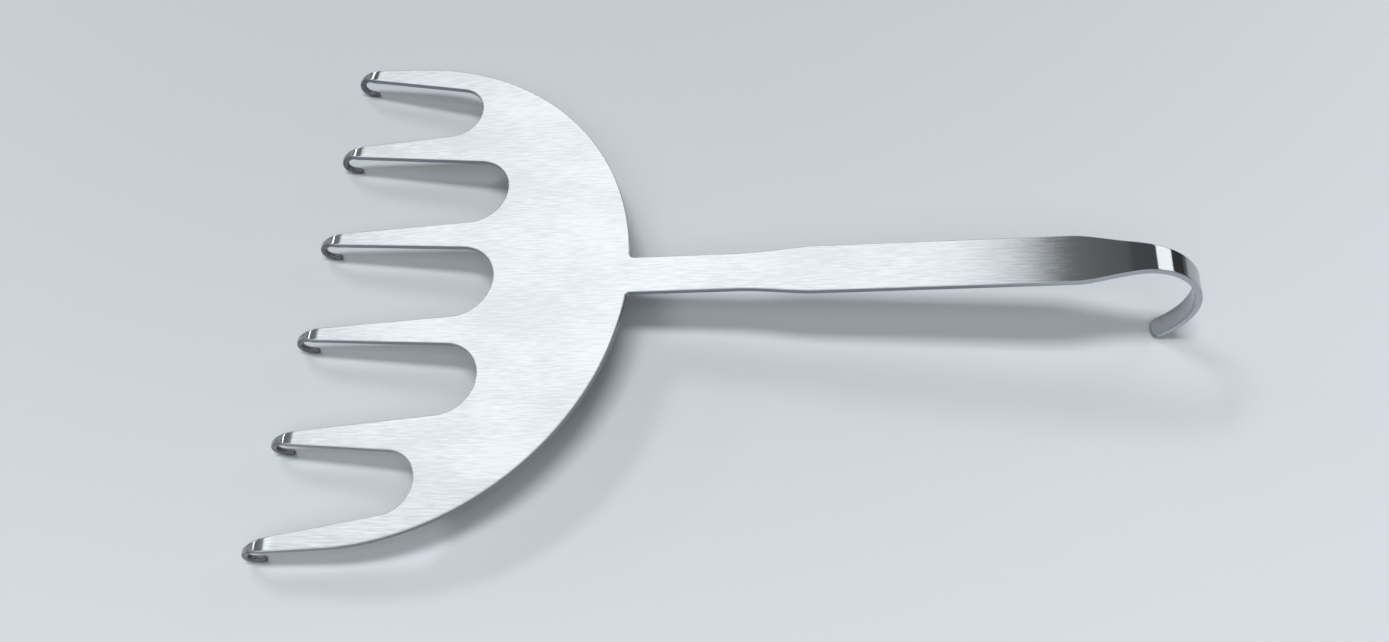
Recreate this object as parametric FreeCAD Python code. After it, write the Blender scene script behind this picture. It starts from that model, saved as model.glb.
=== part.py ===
import FreeCAD, Part
import math
import os
from FreeCAD import Vector

# A hand rake: one strip of steel sheet, cut to a round head with six prongs
# and a slim handle. The prongs are rolled down and under into claws, and the
# end of the handle is drawn in and rolled down into a finger hook.
# Lengths are in millimetres and angles in degrees. The work is drawn with the
# upper face of the sheet at height zero, the handle along +X and the centre
# of the round head at the origin, and is tipped onto the bench at the end.

# sheet
SHEET = 1.5             # thickness
BEVEL = 0.25            # broken edge along the sheet
CORNER_R = 1.0          # inside corner between head and neck

# head
HEAD_R = 65.0           # radius of the round back of the head
HEAD_FLARE = 0.75       # how far each outer prong stands outside that radius
PRONG_PITCH = 26.2      # spacing of the four inner prongs at their ends
PRONG_END_W = 3.2       # width of a prong where its bend begins
PRONG_END_X = (-9.0, -9.0, -9.6)   # where the flat part stops, from the middle outward
FAN = 0.967             # spacing at the roots over spacing at the ends
ROOT_X = (32.7, 32.7, 22.4)        # bottoms of the gaps, from the middle outward
ROOT_R = (9.4, 8.9, 7.5)           # their rounding

# handle
NECK_W = 9.2
GRIP_W = 11.6
FLARE_FROM_X = 90.0     # the neck starts to widen
FLARE_TO_X = 108.0      # the full grip width is reached
TAPER_X = 161.5         # the grip starts to draw in again

# claws: a straight lead, two arcs and a straight tail, on the outside of the bend
CLAW_LEAD = 0.8
CLAW_R = (5.6, 3.4)
CLAW_TO = (75.0, 165.0)
CLAW_TAIL = 2.0
CLAW_TIP_W = 1.3
CLAW_TIP_BEVEL = 0.4
CLAW_TAPER = 3.2        # length over which most of the narrowing happens

# finger hook: a straight lead, three arcs and a straight tail
HOOK_LEAD = 12.7
HOOK_R = (14.5, 18.5, 22.0)
HOOK_TO = (50.0, 110.0, 138.0)
HOOK_TAIL = 1.2
HOOK_TIP_W = 4.2
HOOK_TAPER = 11.5

# derived
EDGE = min(BEVEL, 0.4 * SHEET)
TIP_EDGE = min(CLAW_TIP_BEVEL, 0.3 * SHEET, 0.35 * CLAW_TIP_W)
HALF_END = PRONG_END_W / 2
PRONG_Y = (PRONG_PITCH / 2, 1.5 * PRONG_PITCH, HEAD_R + HEAD_FLARE - HALF_END)
GAP_Y = (0.0, FAN * (PRONG_Y[0] + PRONG_Y[1]) / 2, FAN * (PRONG_Y[1] + PRONG_Y[2]) / 2)


def flat(x, y):
    return Vector(x, y, 0)


def touch(p, cx, cy, r, side):
    """Where a line from p touches a circle; side picks which of the two places."""
    far = math.hypot(p.x - cx, p.y - cy)
    a = math.atan2(p.y - cy, p.x - cx) + side * math.acos(r / far)
    return flat(cx + r * math.cos(a), cy + r * math.sin(a))


def prong(i):
    """The four corners of one prong: inner root, inner end, outer end, outer root."""
    low = flat(PRONG_END_X[i], PRONG_Y[i] - HALF_END)
    high = flat(PRONG_END_X[i], PRONG_Y[i] + HALF_END)
    low_root = touch(low, ROOT_X[i] - ROOT_R[i], GAP_Y[i], ROOT_R[i], -1)
    if i == 2:
        high_root = touch(high, 0, 0, HEAD_R, -1)
    else:
        high_root = touch(high, ROOT_X[i + 1] - ROOT_R[i + 1], GAP_Y[i + 1], ROOT_R[i + 1], 1)
    return low_root, low, high, high_root


def s_curve(x0, y0, x1, y1):
    """A smooth step between two widths, level at both ends."""
    third = (x1 - x0) / 3
    c = Part.BezierCurve()
    c.setPoles([flat(x0, y0), flat(x0 + third, y0), flat(x1 - third, y1), flat(x1, y1)])
    return c.toShape()


def half_outline():
    """The outline for y > 0, from the root of the middle gap round to the end of the grip."""
    start = flat(ROOT_X[0], 0)
    edges = []
    for i in range(3):
        low_root, low, high, high_root = prong(i)
        if i == 0:
            bow = ROOT_R[0] * math.sqrt(0.5)
            edges.append(Part.Arc(start, flat(ROOT_X[0] - ROOT_R[0] + bow, bow), low_root).toShape())
        else:
            edges.append(Part.Arc(start, flat(ROOT_X[i], GAP_Y[i]), low_root).toShape())
        edges += [Part.makeLine(low_root, low), Part.makeLine(low, high), Part.makeLine(high, high_root)]
        start = high_root
    # the inside corner is an arc that touches the head circle and the neck line
    neck = NECK_W / 2
    ky = neck + CORNER_R
    kx = math.sqrt((HEAD_R + CORNER_R) ** 2 - ky ** 2)
    share = HEAD_R / (HEAD_R + CORNER_R)
    corner = flat(kx * share, ky * share)
    half_way = (math.atan2(start.y, start.x) + math.atan2(ky, kx)) / 2
    edges.append(Part.Arc(start, flat(HEAD_R * math.cos(half_way), HEAD_R * math.sin(half_way)),
                          corner).toShape())
    turn = (math.atan2(-ky, -kx) - math.pi / 2) / 2
    edges.append(Part.Arc(corner, flat(kx + CORNER_R * math.cos(turn), ky + CORNER_R * math.sin(turn)),
                          flat(kx, neck)).toShape())
    edges.append(Part.makeLine(flat(kx, neck), flat(FLARE_FROM_X, neck)))
    edges.append(s_curve(FLARE_FROM_X, neck, FLARE_TO_X, GRIP_W / 2))
    edges.append(Part.makeLine(flat(FLARE_TO_X, GRIP_W / 2), flat(TAPER_X, GRIP_W / 2)))
    return edges


def across(shape, x):
    b = shape.BoundBox
    return b.XLength < 1e-6 and abs(b.XMin - x) < 1e-6


def blank():
    """The flat part: outline, sheet thickness, broken long edges."""
    up = half_outline()
    down = [e.mirror(Vector(0, 0, 0), Vector(0, 1, 0)) for e in up]
    end = Part.makeLine(flat(TAPER_X, GRIP_W / 2), flat(TAPER_X, -GRIP_W / 2))
    solid = Part.Face(Part.Wire(Part.__sortEdges__(up + [end] + down))).extrude(Vector(0, 0, -SHEET))
    ends = set(PRONG_END_X) | {TAPER_X}
    level = [e for e in solid.Edges if e.BoundBox.ZLength < 1e-6]
    return solid.makeChamfer(EDGE, [e for e in level if not any(across(e, x) for x in ends)])


def end_wire(solid, x, y):
    """The outline of the flat part's end face at one prong or at the grip."""
    faces = [f for f in solid.Faces if across(f, x)]
    return min(faces, key=lambda f: abs(f.CenterOfMass.y - y)).OuterWire


def bend(lead, radii, ends, tail):
    """The pieces of a path that rolls down through the given angles: (length, radius)."""
    pieces, last = [(lead, 0)], 0.0
    for r, a in zip(radii, ends):
        pieces.append((r * math.radians(a - last), r))
        last = a
    return pieces + [(tail, 0)]


def on_path(pieces, s):
    """Distance out, drop and slope at length s along straight runs (radius 0) and arcs."""
    u = v = angle = 0.0
    for length, r in pieces:
        step = min(s, length)
        if r:
            turn = step / r
            u += r * (math.sin(angle + turn) - math.sin(angle))
            v += r * (math.cos(angle + turn) - math.cos(angle))
            angle += turn
        else:
            u += step * math.cos(angle)
            v -= step * math.sin(angle)
        s -= step
        if s <= 0:
            break
    return u, v, angle


def section(base, out, place, half, thick, sink, cut):
    """A rectangle with its corners cut, square to the path; sink is its depth below the outside."""
    u, v, angle = place
    side = Vector(-out.y, out.x, 0)
    inward = out * -math.sin(angle) + Vector(0, 0, -math.cos(angle))
    origin = base + out * u + Vector(0, 0, v) + inward * sink
    h, t, c = half, thick, cut
    ring = [(c - h, 0), (h - c, 0), (h, c), (h, t - c), (h - c, t), (c - h, t), (-h, t - c), (-h, c)]
    points = [origin + side * a + inward * b for a, b in ring]
    return Part.makePolygon(points + points[:1])


def rolled(first, base, out, pieces, wide, narrow, taper, lean, cut_end, stations):
    """A strip that narrows while it rolls, from the wire first to a rounded tip."""
    total = sum(p[0] for p in pieces)
    tip = narrow / 2
    soft = min(tip, 0.45 * SHEET)
    body = total - tip
    swell = wide / 2 - tip

    def half(s):
        return tip + swell / (1 + lean / swell * s + (s / taper) ** 2)
    wires = [first]
    for i in range(1, stations + 1):
        s = body * i / stations
        c = cut_end + (EDGE - cut_end) * (half(s) - tip) / swell
        wires.append(section(base, out, on_path(pieces, s), half(s), SHEET, 0, c))
    main = Part.makeLoft(wires, True)
    ends = [wires[-1]]
    for share in (0.7, 0.4, 0.15, 0.03):
        left = tip * share
        w = half(body) * math.sqrt(1 - (1 - share) ** 2)
        sink = soft - math.sqrt(soft ** 2 - max(soft - left, 0) ** 2)
        t = SHEET - 2 * sink
        ends.append(section(base, out, on_path(pieces, total - left), w, t, sink,
                            min(cut_end, 0.3 * t, 0.6 * w)))
    return [main, Part.makeLoft(ends, True)]


def claws(plate):
    pieces = bend(CLAW_LEAD, CLAW_R, CLAW_TO, CLAW_TAIL)
    out = []
    for i in range(3):
        low_root, low, high, high_root = prong(i)
        in_slope = (low.y - low_root.y) / (low_root.x - low.x)
        out_slope = (high.y - high_root.y) / (high_root.x - high.x)
        swing = math.atan((in_slope + out_slope) / 2)
        lean = (in_slope - out_slope) / 2
        run = Vector(-math.cos(swing), math.sin(swing), 0)
        pair = rolled(end_wire(plate, PRONG_END_X[i], PRONG_Y[i]), flat(PRONG_END_X[i], PRONG_Y[i]), run,
                      pieces, PRONG_END_W, CLAW_TIP_W, CLAW_TAPER, lean, TIP_EDGE, 9)
        out += pair + [p.mirror(Vector(0, 0, 0), Vector(0, 1, 0)) for p in pair]
    return out


def finger_hook(plate):
    pieces = bend(HOOK_LEAD, HOOK_R, HOOK_TO, HOOK_TAIL)
    return rolled(end_wire(plate, TAPER_X, 0), flat(TAPER_X, 0), Vector(1, 0, 0), pieces,
                  GRIP_W, HOOK_TIP_W, HOOK_TAPER, 0.0, EDGE, 16)


def rest_angle(points):
    """The tilt at which the claws and the tip of the hook lie on one level."""
    claw = [(p.x, p.z) for p in points if p.x < ROOT_X[0]]
    hook = [(p.x, p.z) for p in points if p.x > ROOT_X[0]]
    angle = 0.0
    for _ in range(30):
        c, s = math.cos(angle), math.sin(angle)
        a = min(claw, key=lambda q: q[0] * s + q[1] * c)
        b = min(hook, key=lambda q: q[0] * s + q[1] * c)
        angle = math.atan2(a[1] - b[1], b[0] - a[0])
    return angle


plate = blank()
body = plate.fuse(claws(plate) + finger_hook(plate)).removeSplitter()
tilt = rest_angle(body.tessellate(0.05)[0])
body.rotate(Vector(0, 0, 0), Vector(0, 1, 0), -math.degrees(tilt))
points = body.tessellate(0.05)[0]
xs, ys, zs = ([getattr(p, k) for p in points] for k in ("x", "y", "z"))
shift = Vector(-(min(xs) + max(xs)) / 2, -(min(ys) + max(ys)) / 2, -min(zs))
body.translate(shift)
print("solids", len(body.Solids), "valid", body.isValid(), "volume", round(body.Volume, 1),
      "tilt", round(math.degrees(tilt), 4), "shift", [round(v, 4) for v in shift])
print("size", [round(max(v) - min(v), 2) for v in (xs, ys, zs)])
os.makedirs("parts", exist_ok=True)
body.exportStep("parts/retractor_body.step")
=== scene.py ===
# %% [markdown]
# # A hand rake in brushed steel
# The object is one strip of steel sheet, cut to a round head with six prongs and a
# slim handle. The prongs are rolled down and under into claws, and the end of the
# handle is rolled into a finger hook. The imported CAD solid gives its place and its
# size, with small flat bevels and bends made of straight steps. This script draws
# the same strip again as smooth surfaces, gives it a brushed finish, and sets up a
# pale bench, the lamps and the camera.


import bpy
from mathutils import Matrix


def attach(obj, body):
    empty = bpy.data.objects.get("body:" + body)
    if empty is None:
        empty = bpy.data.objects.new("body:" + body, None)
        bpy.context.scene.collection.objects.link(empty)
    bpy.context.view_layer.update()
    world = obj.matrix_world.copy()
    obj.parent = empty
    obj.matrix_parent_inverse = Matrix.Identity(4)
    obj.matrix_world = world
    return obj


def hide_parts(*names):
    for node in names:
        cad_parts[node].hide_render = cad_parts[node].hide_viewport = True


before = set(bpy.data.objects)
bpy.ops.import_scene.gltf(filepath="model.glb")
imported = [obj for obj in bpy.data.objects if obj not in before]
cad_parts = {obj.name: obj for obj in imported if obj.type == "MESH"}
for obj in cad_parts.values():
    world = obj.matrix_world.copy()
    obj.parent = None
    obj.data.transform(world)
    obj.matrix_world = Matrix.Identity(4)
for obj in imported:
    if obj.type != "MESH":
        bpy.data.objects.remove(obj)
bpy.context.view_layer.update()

# %% [markdown]
# Blender works in metres, and so does every object here. The shapes are worked out
# in millimetres, as on a workshop drawing: the upper face of the sheet at height
# zero, the handle along +X and the middle of the round head at the origin. Only the
# last step tips the work onto the bench.
#
# The sizes below are the ones that drive the CAD model, apart from the edges and the
# claws. The edges are round here. And on the real rake a prong starts to droop a
# little before its claw, so the bend of a claw begins earlier and gently, and
# tightens towards the tip.

# %% Sizes of the work, in millimetres and degrees
import math

import bpy
import numpy as np
from mathutils import Matrix, Vector

SHEET = 1.5                        # thickness of the steel
EDGE = 0.27                        # rounding along its edges
INSIDE_CORNER = 1.0                # between the head and the neck
HEAD_R = 65.0
HEAD_FLARE = 0.75                  # how far an outer prong stands outside that radius
PITCH = 26.2                       # spacing of the inner prongs at their ends
PRONG_W = 3.2                      # width where a prong's bend begins
PRONG_X = (-9.0, -9.0, -9.6)       # where the flat part ends, from the middle outward
FAN = 0.967                        # spacing at the roots over spacing at the ends
GAP_X = (32.7, 32.7, 22.4)         # bottoms of the gaps
GAP_R = (9.4, 8.9, 7.5)            # their rounding
NECK_W, GRIP_W = 9.2, 11.6
FLARE_X = (90.0, 108.0)            # the neck widens to the grip between these
GRIP_X = 161.5                     # the grip starts to draw in

CLAW_EARLY = 2.6                   # how far before its end a prong starts to droop
CLAW = {"lead": 0.8, "radii": (26.0, 6.35, 2.9), "ends": (5.5, 75, 165), "tail": 2.0, "ease": 1.2}
CLAW_TIP_W, CLAW_TIP_EDGE, CLAW_TAPER = 1.3, 0.58, 3.2
HOOK = {"lead": 12.7, "radii": (14.5, 18.5, 22.0), "ends": (50, 110, 138), "tail": 1.2, "ease": 4.0}
HOOK_TIP_W, HOOK_TAPER = 4.2, 11.5

OUTER = 2                          # prongs and gaps are counted from the middle: 0, 1, 2
HALF = PRONG_W / 2
PRONG_Y = (PITCH / 2, 1.5 * PITCH, HEAD_R + HEAD_FLARE - HALF)
GAP_Y = (0.0, FAN * (PRONG_Y[0] + PRONG_Y[1]) / 2, FAN * (PRONG_Y[1] + PRONG_Y[2]) / 2)
print("prongs at y =", [round(y, 2) for y in PRONG_Y], "gaps at y =", [round(y, 2) for y in GAP_Y])

# %% [markdown]
# ## The cut outline
# On the real rake a press cuts the sheet along straight sides and round arcs. Tracing
# such an outline by hand gives wavy edges, and polished steel shows every wave. So
# each stretch is worked out: a straight prong side runs until it touches the circle
# of the gap beside it. Only the half with y above zero is drawn. The other half is
# its mirror image.

# %% Arcs, straight runs and the places where they touch
ARC_STEP = math.radians(2.0)
SAME_PLACE = 1e-6                  # points closer than this are one


def arc(centre, radius, start, end, step=ARC_STEP):
    """Points of a circle: centre plus radius times (cos a, sin a), a from start to end."""
    a = np.linspace(start, end, 2 + int(abs(end - start) / step))
    return np.stack([centre[0] + radius * np.cos(a), centre[1] + radius * np.sin(a)], 1)


def touch_angle(point, centre, radius, side):
    """Angle on the circle where a line from the point touches it: the direction of the
    point, turned by the angle whose cosine is radius over distance."""
    dx, dy = point[0] - centre[0], point[1] - centre[1]
    return math.atan2(dy, dx) + side * math.acos(radius / math.hypot(dx, dy))


def gap_centre(i):
    return (GAP_X[i] - GAP_R[i], GAP_Y[i])


def prong_end(i, side):
    return (PRONG_X[i], PRONG_Y[i] + side * HALF)


def prong_root(i, side):
    """Where a prong's side touches the gap beside it, or the round head."""
    if i == OUTER and side > 0:
        centre, radius, turn = (0, 0), HEAD_R, -1
    else:
        gap = i + (side > 0)
        centre, radius, turn = gap_centre(gap), GAP_R[gap], side
    a = touch_angle(prong_end(i, side), centre, radius, turn)
    return (centre[0] + radius * math.cos(a), centre[1] + radius * math.sin(a))


def shoulder(i, side):
    """The point of a prong's side where its bent part begins."""
    (x0, y0), (x1, y1) = prong_end(i, side), prong_root(i, side)
    return (x0 + CLAW_EARLY, y0 + (y1 - y0) / (x1 - x0) * CLAW_EARLY)


def join(*stretches):
    """One run of points from several, without the points that repeat."""
    points = np.concatenate([np.reshape(s, (-1, 2)) for s in stretches])
    keep = np.r_[True, np.hypot(*np.diff(points, axis=0).T) > SAME_PLACE]
    return points[keep]


print("a prong side touches its gap at",
      round(math.degrees(touch_angle(prong_end(0, -1), gap_centre(0), GAP_R[0], -1)), 1), "degrees")

# %% [markdown]
# The outline falls into four runs between the places where a bent part goes on: half
# of the middle gap, two whole gaps, and the long run from the outer prong round the
# head and along the handle. The neck widens to the grip in an S that is level at both
# ends, a cubic Bezier curve whose handles lie a third of the way along.

# %% The four runs of the outline
def widening(n=24):
    """Cubic Bezier: (1-t)^3 a + 3(1-t)^2 t b + 3(1-t) t^2 c + t^3 d, for t from 0 to 1."""
    t = np.linspace(0, 1, n)[:, None]
    (x0, x1), y0, y1 = FLARE_X, NECK_W / 2, GRIP_W / 2
    third = (x1 - x0) / 3
    a, b, c, d = (np.array(p) for p in ((x0, y0), (x0 + third, y0), (x1 - third, y1), (x1, y1)))
    return (1 - t) ** 3 * a + 3 * (1 - t) ** 2 * t * b + 3 * (1 - t) * t ** 2 * c + t ** 3 * d


def gap_run(i):
    """From the outer side of prong i-1 round the gap to the inner side of prong i."""
    centre = gap_centre(i)
    stop = touch_angle(prong_end(i, -1), centre, GAP_R[i], -1)
    if i == 0:
        return join(arc(centre, GAP_R[0], 0.0, stop), shoulder(i, -1))
    start = touch_angle(prong_end(i - 1, 1), centre, GAP_R[i], 1)
    return join(shoulder(i - 1, 1), arc(centre, GAP_R[i], start, stop), shoulder(i, -1))


def back_run():
    """From the outer prong along the round head, the inside corner, the neck and the grip."""
    ky = NECK_W / 2 + INSIDE_CORNER
    kx = math.sqrt((HEAD_R + INSIDE_CORNER) ** 2 - ky ** 2)
    start = touch_angle(prong_end(OUTER, 1), (0, 0), HEAD_R, -1)
    head = arc((0, 0), HEAD_R, start, math.atan2(ky, kx), ARC_STEP / 2)
    corner = arc((kx, ky), INSIDE_CORNER, math.atan2(-ky, -kx), -math.pi / 2, 5 * ARC_STEP)
    return join(shoulder(OUTER, 1), head, corner, (kx, NECK_W / 2), widening(),
                (GRIP_X, GRIP_W / 2))


runs = [gap_run(0), gap_run(1), gap_run(2), back_run()]
print("points in the runs:", [len(r) for r in runs])

# %% [markdown]
# ## The rounded edge
# The long edges of the sheet are broken and polished, so each one shows a fine line
# of light. The edge is a profile carried along the outline: a narrow flat strip, a
# quarter round, the upright wall, another quarter round and a strip underneath. The
# flat strips keep the shading of the broad faces perfectly flat right up to the
# rounding.

# %% Carry the edge profile along a run
STRIP = 0.12       # flat strip beside each rounding
ROUND_STEPS = 6


def edge_profile(radius, strip, thick):
    """(inset, depth) of the edge, one row for each station. Upper rounding: inset
    r(1 - sin a), depth r(1 - cos a), a from 0 to 90 degrees; the lower one is the same
    upside down."""
    radius, strip, thick = (np.atleast_1d(np.asarray(v, float))[:, None]
                            for v in (radius, strip, thick))
    a = np.linspace(0, math.pi / 2, ROUND_STEPS + 1)
    inset = radius * (1 - np.sin(a))
    depth = radius * (1 - np.cos(a))
    return (np.concatenate([radius + strip, inset, inset[:, ::-1], radius + strip], 1),
            np.concatenate([0 * radius, depth, thick - depth[:, ::-1], thick + 0 * radius], 1))


def outward(run):
    """Unit normals of a run, pointing away from the steel: its direction turned left."""
    step = np.diff(run, axis=0)
    step /= np.hypot(*step.T)[:, None]
    tangent = np.concatenate([step[:1], step[:-1] + step[1:], step[-1:]])
    tangent /= np.hypot(*tangent.T)[:, None]
    return np.stack([-tangent[:, 1], tangent[:, 0]], 1)


def rim(run, ends):
    """A grid: outline point minus inset times normal, at its depth. ends are the normals
    at the two ends, where a bent part goes on from a cut square to the handle."""
    normal = outward(run)
    normal[0], normal[-1] = ends
    inset, depth = edge_profile(EDGE, STRIP, SHEET)
    flat = run[:, None, :] - inset[0][None, :, None] * normal[:, None, :]
    level = np.broadcast_to(-depth[0][None, :, None], flat.shape[:2] + (1,))
    return np.concatenate([flat, level], 2)


UP, DOWN, FORWARD = (0, 1), (0, -1), (-1, 0)
run_ends = [(FORWARD, DOWN), (UP, DOWN), (UP, DOWN), (UP, UP)]
rims = [rim(r, e) for r, e in zip(runs, run_ends)]
print("edge grid of the back:", rims[3].shape)

# %% [markdown]
# ## The bends
# A claw is the end of a prong: it droops a little, and then it is rolled round two
# bars, one tighter than the other. The hook is rolled over three. Drawn as bare arcs,
# the curvature would jump where one arc meets the next, and the reflection would show
# it as a kink. Real steel eases into a bend, so the angle along the path is averaged
# over a short window before it is added up to the path itself.

# %% The path of a bend
PATH_STEP = 0.01   # mm between the points of a path
RUN_UP = 4.0       # straight path before the bend, where the first averages start


def middles(values):
    return (values[1:] + values[:-1]) / 2


def running_sum(rates):
    """The sum of the rates in the middles of the steps, times the step."""
    return np.r_[0, np.cumsum(rates)] * PATH_STEP


def bend_path(lead, radii, ends, tail, ease):
    """Length, distance out, height and slope angle along a bend. The angle grows evenly
    in each arc, by length over radius, and is averaged over a window of length ease.
    Distance out is the sum of cos(angle), height minus the sum of sin(angle)."""
    s_knots, a_knots = [-RUN_UP - 1, lead], [0.0, 0.0]
    for r, end in zip(radii, ends):
        s_knots.append(s_knots[-1] + r * (math.radians(end) - a_knots[-1]))
        a_knots.append(math.radians(end))
    total = s_knots[-1] + tail
    s = np.arange(-RUN_UP, total + ease, PATH_STEP)
    summed = running_sum(middles(np.interp(s, s_knots, a_knots)))
    angle = (np.interp(s + ease / 2, s, summed) - np.interp(s - ease / 2, s, summed)) / ease
    out = running_sum(np.cos(middles(angle)))
    drop = running_sum(np.sin(middles(angle)))
    return {"s": s, "out": out - np.interp(0, s, out), "height": np.interp(0, s, drop) - drop,
            "angle": angle, "total": total}


claw_path, hook_path = bend_path(**CLAW), bend_path(**HOOK)
print("length of a claw", round(claw_path["total"], 2), "mm, of the hook",
      round(hook_path["total"], 2), "mm")

# %% [markdown]
# A strip that narrows while it rolls is a closed ring carried along the path: across
# the top, round one edge, back underneath and round the other edge. The width falls
# away as one over one plus the square of the length, which leaves a slim, even end,
# and the last stations round the tip off. The edges of a claw grow rounder as it
# narrows, until its section is nearly that of a wire.

# %% A section that narrows towards its tip
ACROSS = 5           # points across a broad face, its two ends among them
STRIP_SHARE = 0.3    # of the width that the roundings leave, the most for a strip
TIP_STATIONS = 14    # rings that round the tip off
LAST_RING = 0.004    # how near the end the last one lies, as a share of the tip's half width
ROUND_SHARE = 0.45   # of the thickness, the most for one rounding
SIDE_SHARE = 0.9     # of half the width, the most for one rounding


def ring(half, radius, thick, sink):
    """(sideways, depth) of a closed section, one row for each station: a box of width
    2*half and the given thickness with round corners, sunk below the outside."""
    strip = np.minimum(STRIP, STRIP_SHARE * (half - radius))
    inset, depth = edge_profile(radius, strip, thick)
    side = half[:, None] - inset
    t = np.linspace(0, 1, ACROSS)[1:-1]
    over = side[:, :1] * (2 * t - 1)                     # from the -side to the +side
    zero = np.zeros_like(over)
    sideways = np.concatenate([side, -over, -side[:, ::-1], over], 1)
    deep = np.concatenate([depth, thick[:, None] + zero, depth[:, ::-1], zero], 1)
    return sideways, deep + sink[:, None]


def narrowing(total, wide, narrow, taper, lean, tip_edge, stations, early=0.0):
    """Lengths of the stations, and the ring at each. Half width: tip + swell / (1 + lean s /
    swell + (s / taper)^2), and before s = 0 the straight sides of the prong. In the last
    stretch, as long as half the tip's width, the width follows a circle and the two
    faces close in on each other."""
    tip = narrow / 2
    body, swell = total - tip, wide / 2 - tip
    share = np.cos(np.linspace(0, math.pi / 2, TIP_STATIONS))[1:].clip(LAST_RING)
    s = np.r_[body * np.linspace(0, 1, stations), total - tip * share]
    past = np.minimum(s, body) - early
    half = np.where(past < 0, wide / 2 - lean * past,
                    tip + swell / (1 + lean / swell * past + (past / taper) ** 2))
    half = half * np.r_[np.ones(stations), np.sqrt(1 - (1 - share) ** 2)]
    soft = min(tip, ROUND_SHARE * SHEET)
    left = np.r_[np.full(stations, soft), tip * share].clip(0, soft)
    sink = soft - np.sqrt(soft ** 2 - (soft - left) ** 2)
    thick = SHEET - 2 * sink
    radius = tip_edge + (EDGE - tip_edge) * ((half - tip) / swell).clip(0, 1) ** 3
    radius = np.minimum(radius, np.minimum(ROUND_SHARE * thick, SIDE_SHARE * half))
    return s, *ring(half, radius, thick, sink)


hook_rings = narrowing(hook_path["total"], GRIP_W, HOOK_TIP_W, HOOK_TAPER, 0.0, EDGE, 120)
print("rings along the hook and points in each:", hook_rings[1].shape)

# %% [markdown]
# Each prong points its own way, so its claw swings along the middle line between the
# prong's two sides. The first ring has to meet the flat head, which is cut square to
# the handle there. The next few rings turn from that cut into the claw's own line.
# Every point is worked out twice: bent, and on the flat blank that the press cut. The
# blank is what the brushing follows later.

# %% Carry the rings along a path
SQUARE_END = 1.5     # mm over which the rings swing into line


def rolled(base, toward, swing, path, s, sideways, deep):
    """A grid of rings from base, toward -X or +X, turned by swing; and the same unrolled.
    Along the run a point lies at the path's distance out, less its depth times
    sin(angle). Its level is the path's height less its depth times cos(angle)."""
    skew = (1 - s / SQUARE_END).clip(0, 1)[:, None] ** 2
    along = s[:, None] + sideways * math.sin(swing) * skew
    sideways = sideways * (1 - (1 - math.cos(swing)) * skew)
    out, height, angle = (np.interp(along, path["s"], path[k]) for k in ("out", "height", "angle"))
    run = np.array([toward * math.cos(swing), math.sin(swing)])
    across = toward * np.array([-run[1], run[0]])

    def laid(distance, level):
        x, y = (base[k] + run[k] * distance + across[k] * sideways for k in (0, 1))
        return np.stack([x, y, level], 2)

    return laid(out - deep * np.sin(angle), height - deep * np.cos(angle)), laid(along, -deep)


def side_slope(i, side):
    """How far a prong's side moves along y for each millimetre towards its end."""
    (x0, y0), (x1, y1) = shoulder(i, side), prong_root(i, side)
    return (y0 - y1) / (x1 - x0)


def claw(i):
    """The bent end of prong i. Lean is the rate at which its two sides close in."""
    low, high = shoulder(i, -1), shoulder(i, 1)
    inner, outer = side_slope(i, -1), side_slope(i, 1)
    rings = narrowing(claw_path["total"], PRONG_W, CLAW_TIP_W, CLAW_TAPER, (inner - outer) / 2,
                      CLAW_TIP_EDGE, 80, CLAW_EARLY)
    middle = (low[0], (low[1] + high[1]) / 2)
    return rolled(middle, -1, math.atan((inner + outer) / 2), claw_path, *rings)


claws = [claw(i) for i in range(3)]
hook = rolled((GRIP_X, 0.0), 1, 0.0, hook_path, *hook_rings)
print("rings in a claw", claws[0][0].shape, "in the hook", hook[0].shape)

# %% [markdown]
# ## One closed skin
# All these grids share their border points: the edge of a run ends where a claw's
# first ring begins. Putting them together is a matter of adding the grids, mirroring
# half of them, filling the two broad faces with one many-sided face each, and then
# welding points that fall in the same place. One skin without seams shades smoothly,
# and any bake or print of it is sound.

# %% Add up the grids
points, unrolled, quads, tips = [], [], [], []


def add(place, flat, closed):
    """Adds a grid and its quads: corners (r, c), (r, c+1), (r+1, c+1), (r+1, c). Returns
    the numbers of its points."""
    start = sum(len(p) for p in points)
    rows, cols = place.shape[:2]
    r = np.arange(rows - 1)[:, None] * cols
    c = np.arange(cols if closed else cols - 1)[None, :]
    n = (c + 1) % cols
    quads.append(start + np.stack([r + c, r + n, r + cols + n, r + cols + c], 2).reshape(-1, 4))
    points.append(place.reshape(-1, 3))
    unrolled.append(flat.reshape(-1, 3))
    return start + np.arange(rows * cols).reshape(rows, cols)


def as_drawn(grid):
    return grid


def mirrored(grid):
    return grid * np.array([1, -1, 1])


for turn in (as_drawn, mirrored):
    for grid in rims:
        add(turn(grid), turn(grid), closed=False)
    for place, flat in claws:
        tips.append(add(turn(place), turn(flat), closed=True)[-1])
tips.append(add(*hook, closed=True)[-1])
print("points", sum(len(p) for p in points), "quads", sum(len(q) for q in quads))

# %% [markdown]
# The border of a broad face is read off the same grids: the innermost line of each
# run, and the flat points across each first ring.

# %% The borders of the two broad faces
def border(top):
    """The loop of points round the upper or the lower face, from the middle gap round
    one side, across the hook and back along the other side."""
    column = 0 if top else -1
    profile, inner = rims[0].shape[1], ACROSS - 2
    first = 2 * profile + inner if top else profile      # of the points across a ring's face
    flat = np.arange(first, first + inner)
    half = [rims[0][:, column]]
    for i in range(3):
        across = claws[i][0][0][flat]
        half.append(across[np.argsort(across[:, 1])])
        half.append(rims[i + 1][:, column])
    across = hook[0][0][flat]
    half = np.concatenate(half)
    middle = across[np.argsort(-across[:, 1])]
    return np.concatenate([half, middle, mirrored(half)[::-1]])


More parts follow.
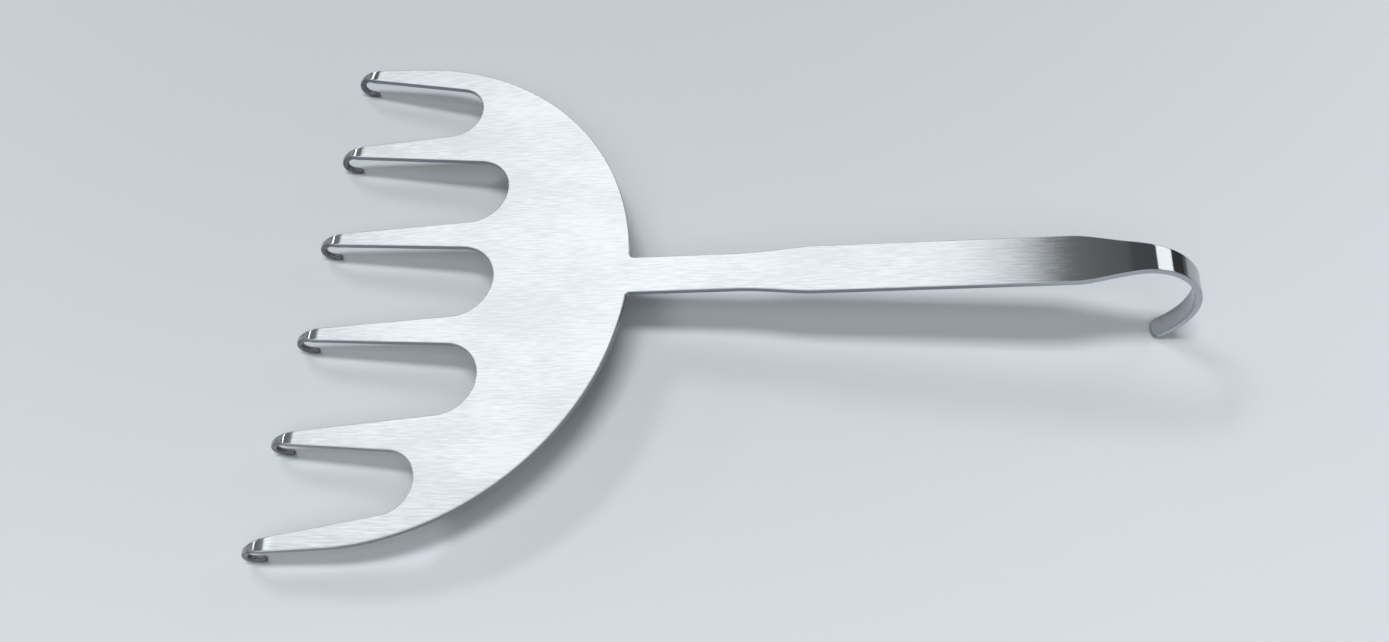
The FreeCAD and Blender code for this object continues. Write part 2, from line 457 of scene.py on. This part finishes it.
loops = []
for top in (True, False):
    loop = border(top)
    start = sum(len(p) for p in points)
    points.append(loop)
    unrolled.append(loop)
    loops.append(start + np.arange(len(loop)))
print("points round a broad face", len(loops[0]))

# %% [markdown]
# The weld rounds every place to a ten-thousandth of a millimetre and keeps one point
# for each. The work is then tipped until the claws and the tip of the hook stand on
# one level, which is how it lies on a bench, and moved so that the origin is under
# the middle of its box, as in the CAD model.

# %% Weld, tip onto the bench and make the mesh
WELD_DECIMALS = 4
TIP_ROUNDS = 30      # the lowest points change as the work tips, so it is tipped again
MM_IN_M = 1000

all_points, all_flat = np.concatenate(points), np.concatenate(unrolled)
_, first, index = np.unique(np.round(all_points, WELD_DECIMALS), axis=0,
                            return_index=True, return_inverse=True)
index = index.ravel()


def rest_angle(p):
    """The tilt at which the lowest points of the head and of the hook are level."""
    head, tail = p[p[:, 0] < GAP_X[0]], p[p[:, 0] > GAP_X[0]]
    tilt = 0.0
    for _ in range(TIP_ROUNDS):
        fall = np.array([math.sin(tilt), 0, math.cos(tilt)])
        a, b = head[np.argmin(head @ fall)], tail[np.argmin(tail @ fall)]
        tilt = math.atan2(a[2] - b[2], b[0] - a[0])
    return tilt


tilt = rest_angle(all_points[first])
c, s = math.cos(tilt), math.sin(tilt)
to_bench = np.array([[c, 0, -s], [0, 1, 0], [s, 0, c]])
placed = all_points[first] @ to_bench.T
low, high = placed.min(0), placed.max(0)
placed -= [(low[0] + high[0]) / 2, (low[1] + high[1]) / 2, low[2]]
print("tilt", round(math.degrees(tilt), 3), "box in mm", placed.min(0).round(3),
      placed.max(0).round(3))


def faces_of(corners):
    """Faces as lists, without the corners that the weld has made equal."""
    for f in index[corners].tolist():
        f = [v for v, before in zip(f, f[-1:] + f[:-1]) if v != before]
        if len(f) > 2:
            yield f


faces = [f for q in quads for f in faces_of(q)]
faces += [f for whole in loops + tips for f in faces_of(whole[None, :])]
mesh = bpy.data.meshes.new("retractor_steel")
mesh.from_pydata((placed / MM_IN_M).tolist(), [], faces)
blank = mesh.attributes.new("blank", "FLOAT_VECTOR", "POINT")
blank.data.foreach_set("vector", (all_flat[first] / MM_IN_M).astype(np.float32).ravel())
print("vertices", len(mesh.vertices), "faces", len(mesh.polygons))

# %% [markdown]
# Mirroring has turned half of the faces inside out. Blender can turn them all the
# right way in one call, once the skin is closed: each edge then belongs to exactly
# two faces, which is worth counting.

# %% Turn the faces outward and set the piece in place
import bmesh

skin = bmesh.new()
skin.from_mesh(mesh)
bmesh.ops.recalc_face_normals(skin, faces=skin.faces)
open_edges = sum(len(e.link_faces) != 2 for e in skin.edges)
volume = skin.calc_volume(signed=True) * MM_IN_M ** 3
skin.to_mesh(mesh)
skin.free()
mesh.polygons.foreach_set("use_smooth", np.ones(len(mesh.polygons), bool))
mesh.update()
rake = bpy.data.objects.new("retractor_steel", mesh)
bpy.context.scene.collection.objects.link(rake)
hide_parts("retractor_body")
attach(rake, "root")
print("open edges", open_edges, "volume", round(volume, 1), "mm3")

# %% [markdown]
# ## Writing shaders as sums
# A finish is a small sum of patterns. Written node by node it takes pages, so one
# small class wraps an output of a node: adding or multiplying two of them adds the
# Math node that does it. Everything else comes from one method that takes a node's
# type, its settings and the values or links of its sockets.

# %% A recipe for a material
class Wire:
    """One output of a node, with the usual signs of arithmetic."""

    def __init__(self, recipe, socket):
        self.recipe, self.socket = recipe, socket

    def maths(self, operation, *values):
        return self.recipe.add("ShaderNodeMath", {"operation": operation}, *values)

    def __add__(self, other):
        return self.maths("ADD", self, other)

    def __sub__(self, other):
        return self.maths("SUBTRACT", self, other)

    def __rsub__(self, other):
        return self.maths("SUBTRACT", other, self)

    def __mul__(self, other):
        return self.maths("MULTIPLY", self, other)

    __radd__, __rmul__ = __add__, __mul__


class Recipe:
    """The node tree of one material or of the world."""

    def __init__(self, owner):
        owner.use_nodes = True
        self.tree = owner.node_tree
        self.tree.nodes.clear()

    def feed(self, socket, value):
        """Links a wire to the socket, or sets a plain value on it."""
        if isinstance(value, Wire):
            self.tree.links.new(value.socket, socket)
        else:
            socket.default_value = value

    def add(self, kind, settings=None, *values, out=0, **named):
        """A node of that type. Settings come first, because they can change its sockets;
        then values by order or by name, where an underscore stands for a space."""
        node = self.tree.nodes.new(kind)
        for name, value in (settings or {}).items():
            setattr(node, name, value)
        by_name = {name.replace("_", " "): value for name, value in named.items()}
        for name, value in {**dict(enumerate(values)), **by_name}.items():
            self.feed(node.inputs[name], value)
        return Wire(self, node.outputs[out]) if len(node.outputs) else node

    def split(self, vector):
        """The three numbers of a vector."""
        node = self.add("ShaderNodeSeparateXYZ", None, vector).socket.node
        return [Wire(self, output) for output in node.outputs]

    def join(self, x, y, z):
        return self.add("ShaderNodeCombineXYZ", None, x, y, z)

    def noise(self, vector, detail=2.0, roughness=0.5):
        """A cloudy pattern from 0 to 1, whose spots are one unit across."""
        return self.add("ShaderNodeTexNoise", {"noise_dimensions": "3D"}, Vector=vector, Scale=1.0,
                        Detail=detail, Roughness=roughness)

    def ramp(self, value, start, end):
        """A smooth step from 0 to 1 while value goes from start to end."""
        settings = {"interpolation_type": "SMOOTHSTEP", "clamp": True}
        return self.add("ShaderNodeMapRange", settings, Value=value, From_Min=start, From_Max=end)

    def blend(self, factor, a, b):
        """Colour a where the factor is 0 and colour b where it is 1. The Mix node has
        sockets for several types, and those for colours come at 6 and 7."""
        node = self.add("ShaderNodeMix", {"data_type": "RGBA"}).socket.node
        for place, value in ((0, factor), (6, a), (7, b)):
            self.feed(node.inputs[place], value)
        return Wire(self, node.outputs[2])


print("recipes ready")

# %% [markdown]
# ## Brushed steel
# The flat of the rake is brushed lengthwise with a fine belt: thousands of shallow
# scratches, each a few millimetres long and a few hundredths wide. They leave light
# alone along the handle and spread it across, and where they lie denser the steel
# looks a shade darker. All of it can be made from one kind of pattern, cloudy noise:
# stretched along the handle it gives scratches and streaks, and left round it gives
# clouds and dents. The pattern follows the unrolled blank, which the mesh carries in
# an attribute, and so it bends with the steel.

# %% The patterns
steel = bpy.data.materials.new("brushed_steel")
m = Recipe(steel)
x, y, z = m.split(m.add("ShaderNodeAttribute", {"attribute_name": "blank"}, out="Vector"))


def spots(along, across, detail=2.0, roughness=0.5):
    """Noise with so many spots to the metre along the handle and across it."""
    return m.noise(m.join(x * along, y * across, z * across), detail, roughness)


hairs = spots(130, 6500)
lines = spots(45, 1500, 3.0, 0.6)
streaks = spots(240, 2400)
clouds = spots(90, 190)
zones = m.noise(m.join(x * 24 + 3.9, y * 55, z * 55))    # moved along, to sit as wanted
waves = spots(45, 60, 1.0)
dents = spots(700, 700)
pits = spots(1900, 1500)
cross_brushing = spots(2600, 160)
print("nodes in the patterns", len(steel.node_tree.nodes))

# %% [markdown]
# The belt doesn't reach the bends. The hook was polished after bending, and the
# scratches give out over the last part of the grip, unevenly, as work by hand does.
# The claws are polished where a prong turns down, but past that the rolled steel
# stays mottled and dull, most of all on their inside, where no wheel reaches, and its
# colour there is set darker as painted shade. The hollow side of the hook's tail was
# brushed across, with a narrow tool, and its colour is set darker as painted shade.
# Each zone is a smooth step along the blank, or down through its thickness, from 0 to 1.

# %% Where each finish lies
MM = 0.001

drift = x + (lines - 0.5) * (8 * MM)
hook_polish = m.ramp(drift, 136 * MM, 165 * MM)
hook_smooth = m.ramp(drift, 140 * MM, 169 * MM)
unscratched = m.ramp(drift, 150 * MM, 174 * MM)
claw_polish = m.ramp(x, -5.6 * MM, -9.5 * MM)
# the claws' colour zone: mottled steel, set darker there as painted shade
claw_colour_and_shade = m.ramp(x, -7.0 * MM, -12.5 * MM)
rolled_steel = m.ramp(x, -9.5 * MM, -12.5 * MM)

under = m.ramp(z, -1.25 * MM, -1.46 * MM)
wall = m.ramp(z, -0.06 * MM, -0.22 * MM) * m.ramp(z, -1.45 * MM, -1.28 * MM)
# inside a claw the steel is duller, and its colour darker as painted shade
inside = claw_colour_and_shade * under
# the hollow of the hook's tail: brushed across, and its colour darker as painted shade
hollow = m.ramp(x, 192 * MM, 206 * MM) * under
brushed = 1 - (hook_smooth + claw_polish)
scratched = 1 - (unscratched + claw_polish)
print("nodes with the zones", len(steel.node_tree.nodes))

# %% [markdown]
# Scratches show mostly through what they do to the light, so they go into the
# roughness and, a hundredth of a millimetre deep, into the relief. The relief also
# has the faint waves of rolled sheet, the dents and pits of the claws, and the
# hollow across the hook's tail, whose height grows with the square of y.

# %% Roughness and relief
HOLLOW = 70          # height in metres is this times y squared

rough = (0.07 + brushed * (0.11 + (lines - 0.5) * 0.06 + (clouds - 0.5) * 0.08)
         + rolled_steel * 0.09 + inside * 0.25 + hollow * 0.16)
height = (scratched * ((hairs - 0.5) * (0.011 * MM) + (lines - 0.5) * (0.016 * MM))
          + hollow * (y * y * HOLLOW + (cross_brushing - 0.5) * (0.012 * MM))
          + (waves - 0.5) * (0.040 * MM)
          + rolled_steel * ((dents - 0.5) * (0.13 * MM) + (pits - 0.5) * (0.024 * MM)))
bump = m.add("ShaderNodeBump", None, Strength=1.0, Distance=1.0, Height=height)
print("nodes with the relief", len(steel.node_tree.nodes))

# %% [markdown]
# The colour of a metal is the light that it mirrors. Brushed steel is a pale, slightly
# blue grey, and a little darker where the scratches are dense. Polished steel is set
# darker: it shows the room, without the pale haze of the scratches. The cut edges are
# set darker than the faces as painted shade, for the shadowed bench that they mirror,
# but not on the hook. The claws vary from spot to spot, and they are set darker as
# painted shade, most of all on their edges and their inside. The hollow of the hook's
# tail is set darker as painted shade too.

# %% Colours of the steel
BRUSHED = (0.540, 0.566, 0.585, 1), (0.650, 0.678, 0.698, 1)
POLISHED = (0.405, 0.422, 0.438, 1), (0.465, 0.485, 0.503, 1)
# claws: a mottled grey set darker as painted shade, the edges and the inside darker still
CLAW_FACE_MOTTLE_AND_SHADE = (0.26, 0.265, 0.275, 1), (0.39, 0.395, 0.40, 1)
CLAW_EDGE_MOTTLE_AND_SHADE = (0.10, 0.10, 0.112, 1), (0.205, 0.205, 0.22, 1)
CLAW_INSIDE_MOTTLE_AND_SHADE = (0.115, 0.115, 0.125, 1), (0.20, 0.20, 0.21, 1)
# cut edges set darker as painted shade, except the hook's edges
CUT_EDGE_PAINTED_SHADE, HOOK_EDGE = (0.25, 0.245, 0.28, 1), (0.47, 0.475, 0.505, 1)
# the hook's hollow, set darker as painted shade
HOLLOW_FACE_PAINTED_SHADE = (0.36, 0.37, 0.38, 1)

tone = m.ramp(streaks * 0.45 + clouds * 0.2 + zones * 0.35, 0.37, 0.63)
mottle = m.ramp(pits * 0.6 + dents * 0.4, 0.38, 0.62)
polished = m.blend(tone * (1 - unscratched), *POLISHED)
face = m.blend(hook_polish, m.blend(tone, *BRUSHED), polished)
# claw faces: mottled, with painted shade
face = m.blend(claw_colour_and_shade, face, m.blend(mottle, *CLAW_FACE_MOTTLE_AND_SHADE))
# hook's hollow: painted shade
face = m.blend(hollow, face, HOLLOW_FACE_PAINTED_SHADE)
# edges: painted shade on the cut edges, the hook's edges left pale
edge = m.blend(hook_polish, CUT_EDGE_PAINTED_SHADE, HOOK_EDGE)
# claw edges: mottled, with painted shade
edge = m.blend(claw_colour_and_shade, edge, m.blend(mottle, *CLAW_EDGE_MOTTLE_AND_SHADE))
# claw insides: mottled, with painted shade
colour = m.blend(inside, m.blend(wall, face, edge), m.blend(mottle, *CLAW_INSIDE_MOTTLE_AND_SHADE))
shader = m.add("ShaderNodeBsdfPrincipled", None, Base_Color=colour, Metallic=1.0, Roughness=rough,
               Normal=bump)
m.add("ShaderNodeOutputMaterial", None, shader)
mesh.materials.append(steel)
print("nodes in the finish", len(steel.node_tree.nodes))

# %% [markdown]
# ## The bench
# The rake lies on a plain pale sheet. Its colour is a little lighter towards the front,
# a painted falloff of the light. A single large face is enough: it is flat, and its
# only work is to take the shadows and to be mirrored in the steel. Far from the work
# the camera sees a backdrop colour instead, while the steel mirrors the bench, and
# takes its bounced light, in a dark colour there, which gives its bends their dark lines.

# %% A pale bench
BENCH = 4.0                          # half its side, in metres
BACKDROP = (0.62, 0.67, 0.71, 1)
# bench colour, lighter towards the front: a painted falloff of the light
PAPER_PAINTED_FALLOFF = (0.440, 0.461, 0.485, 1), (0.590, 0.612, 0.637, 1)     # far and near
# far out, the bench is set dark in what the steel mirrors
FAR_BENCH_DARK = (0.13, 0.135, 0.14, 1)

corners = np.array([[-1, -1, 0], [1, -1, 0], [1, 1, 0], [-1, 1, 0]]) * BENCH
bench_mesh = bpy.data.meshes.new("bench")
bench_mesh.from_pydata(corners.tolist(), [], [(0, 1, 2, 3)])
bench = bpy.data.objects.new("bench", bench_mesh)
bpy.context.scene.collection.objects.link(bench)

cloth = bpy.data.materials.new("pale_bench")
b = Recipe(cloth)
bx, by, _ = b.split(b.add("ShaderNodeTexCoord", None, out="Object"))
away = b.add("ShaderNodeVectorMath", {"operation": "LENGTH"}, b.join(bx, by, 0.0), out="Value")
seen = b.add("ShaderNodeLightPath", None, out="Is Camera Ray")
# painted falloff of the light: lighter towards the front
painted_falloff = b.ramp(by - bx * 0.45 - away * away * 3.0, 0.19, -0.23)
# far out, the bench is dark in what the steel mirrors and in bounced light
paper = b.blend(b.ramp(away, 0.17, 0.34) * (1 - seen), b.blend(painted_falloff, *PAPER_PAINTED_FALLOFF), FAR_BENCH_DARK)
lit = b.add("ShaderNodeBsdfPrincipled", None, Base_Color=paper, Roughness=0.75,
            Specular_IOR_Level=0.2)
plain = b.add("ShaderNodeEmission", None, BACKDROP, 1.0)
b.add("ShaderNodeOutputMaterial", None,
      b.add("ShaderNodeMixShader", None, b.ramp(away, 0.24, 0.60) * seen, lit, plain))
bench_mesh.materials.append(cloth)
print("bench", 2 * BENCH, "m square")

# %% [markdown]
# ## The room
# Steel is a mirror, so the room matters as much as the lamps. A real room could be
# built round the bench, but a few smooth steps in the direction of a ray do the same.
# On the bench the room only sheds a dim, even light, and to the camera it is a plain
# backdrop. In the steel it is pale, and brighter overhead, apart from a dark band over
# the far side. That band is what the end of the grip and the hook mirror. It is
# darkest at the right and near the horizon, with a pale patch low at the left.

# %% The room
PALE_LOW, PALE_HIGH = (0.50, 0.51, 0.52, 1), (0.92, 0.94, 0.96, 1)
BAND_LEFT, BAND_MIDDLE = (0.35, 0.356, 0.362, 1), (0.29, 0.295, 0.30, 1)
BAND_RIGHT = (0.125, 0.129, 0.135, 1)
LOW_LEFT, LOW_RIGHT = (0.24, 0.247, 0.255, 1), (0.065, 0.067, 0.07, 1)
LEFT_PATCH = (0.62, 0.63, 0.64, 1)
DIM = (0.040, 0.041, 0.043, 1)

world = bpy.data.worlds.new("room")
bpy.context.scene.world = world
w = Recipe(world)
wx, wy, wz = w.split(w.add("ShaderNodeTexCoord", None, out="Generated"))
left = w.ramp(wx, -0.50, -0.62)
high_band = w.blend(w.ramp(wx, -0.035, 0.085), BAND_MIDDLE, BAND_RIGHT)
high_band = w.blend(left, high_band, BAND_LEFT)
low_band = w.blend(left, LOW_RIGHT, LOW_LEFT)
band = w.blend(w.ramp(wz, 0.75, 0.60), high_band, low_band)
band = w.blend(w.ramp(wx, -0.60, -0.74) * w.ramp(wz, 0.42, 0.30), band, LEFT_PATCH)
pale = w.blend(w.ramp(wz, 0.0, 0.9), PALE_LOW, PALE_HIGH)
mirrored_room = w.blend(w.ramp(wy, 0.24, 0.06) + w.ramp(wy, 0.64, 0.74), band, pale)
glossy = w.add("ShaderNodeLightPath", None, out="Is Glossy Ray")
seen = w.add("ShaderNodeLightPath", None, out="Is Camera Ray")
room = w.blend(seen, w.blend(glossy, DIM, mirrored_room), BACKDROP)
w.add("ShaderNodeOutputWorld", None, w.add("ShaderNodeBackground", None, room, 1.0))
print("nodes in the room", len(world.node_tree.nodes))

# %% [markdown]
# ## The lamps
# Some lamps are there for the shadows and some for the reflections, and keeping the
# two apart makes each easy to set. On the bench, a long lamp overhead gives the deep
# shadow under the work, one from the far left the second, paler shadow beside it, and
# a broad panel on the near side fills both. The steel doesn't mirror these three. It
# mirrors a broad panel over the far left, brighter at its left end, in the flat of the
# rake, a panel at the right as the white stripe on the hook, and a narrow strip at
# the left as the glint on each claw. These last two light the bench a little as well.

# %% The lamps
TINT = (0.96, 0.985, 1.0)
WORK = Vector((0, 0, 0.01))          # where a turned lamp points
PANEL_HEIGHT = 1.6


def lamp(name, at, size, radiance, mirrored_in_steel=True, lights_bench=True, turned=True):
    """A flat rectangular lamp at a place, turned to the work or facing straight down. An
    area lamp's radiance is its power over four times its area."""
    data = bpy.data.lights.new(name, "AREA")
    data.shape = "RECTANGLE"
    data.size, data.size_y = size
    data.energy = 4 * size[0] * size[1] * radiance
    data.color = TINT
    obj = bpy.data.objects.new(name, data)
    obj.location = at
    if turned:
        obj.rotation_euler = (WORK - Vector(at)).to_track_quat("-Z", "Y").to_euler()
    obj.visible_glossy = mirrored_in_steel
    obj.visible_diffuse = lights_bench
    obj.visible_camera = False
    bpy.context.scene.collection.objects.link(obj)


lamp("sky_panel", (-0.750, 1.21, PANEL_HEIGHT), (1.50, 1.58), 0.935,
     lights_bench=False, turned=False)
lamp("bright_end", (-1.36, 1.21, PANEL_HEIGHT), (0.28, 1.58), 0.13,
     lights_bench=False, turned=False)
lamp("front_panel", (0.05, -0.68, 1.15), (1.2, 0.7), 1.94, mirrored_in_steel=False)
lamp("overhead", (-0.006, -0.048, 1.2), (0.50, 0.17), 29.8, mirrored_in_steel=False, turned=False)
lamp("far_left", (-0.66, 0.78, 1.2), (0.60, 0.20), 12.5, mirrored_in_steel=False)
lamp("right_panel", (1.015, 0.705, 0.728), (0.55, 0.54), 1.60)
lamp("claw_strip", (-1.150, 0.621, 0.728), (0.98, 0.09), 3.2)

# %% [markdown]
# ## The camera
# The picture is taken from close by, with the camera held over the near side of the
# rake and turned a little. It is set by three plain facts: where it stands, which way
# it looks, and how far it is rolled.

# %% The camera
CAMERA_AT = Vector((0.01624, -0.14575, 0.25920))
LOOKS_ALONG = Vector((-0.085335, 0.484966, -0.870359))
ROLL = math.radians(-6.857)
FOCAL, SENSOR = 32.6, 36.0           # mm

right = LOOKS_ALONG.cross(Vector((0, 0, 1))).normalized()
up = right.cross(LOOKS_ALONG).normalized()
turned_right = right * math.cos(ROLL) + up * math.sin(ROLL)
turned_up = up * math.cos(ROLL) - right * math.sin(ROLL)
cam_data = bpy.data.cameras.new("camera")
cam_data.lens, cam_data.sensor_width = FOCAL, SENSOR
cam_data.clip_start, cam_data.clip_end = 0.01, 50.0
camera = bpy.data.objects.new("camera", cam_data)
axes = Matrix((turned_right, turned_up, -LOOKS_ALONG)).transposed()
camera.matrix_world = Matrix.Translation(CAMERA_AT) @ axes.to_4x4()
bpy.context.scene.collection.objects.link(camera)
bpy.context.scene.camera = camera
bpy.context.scene.view_settings.view_transform = "Standard"
print("camera at", [round(v, 4) for v in CAMERA_AT])
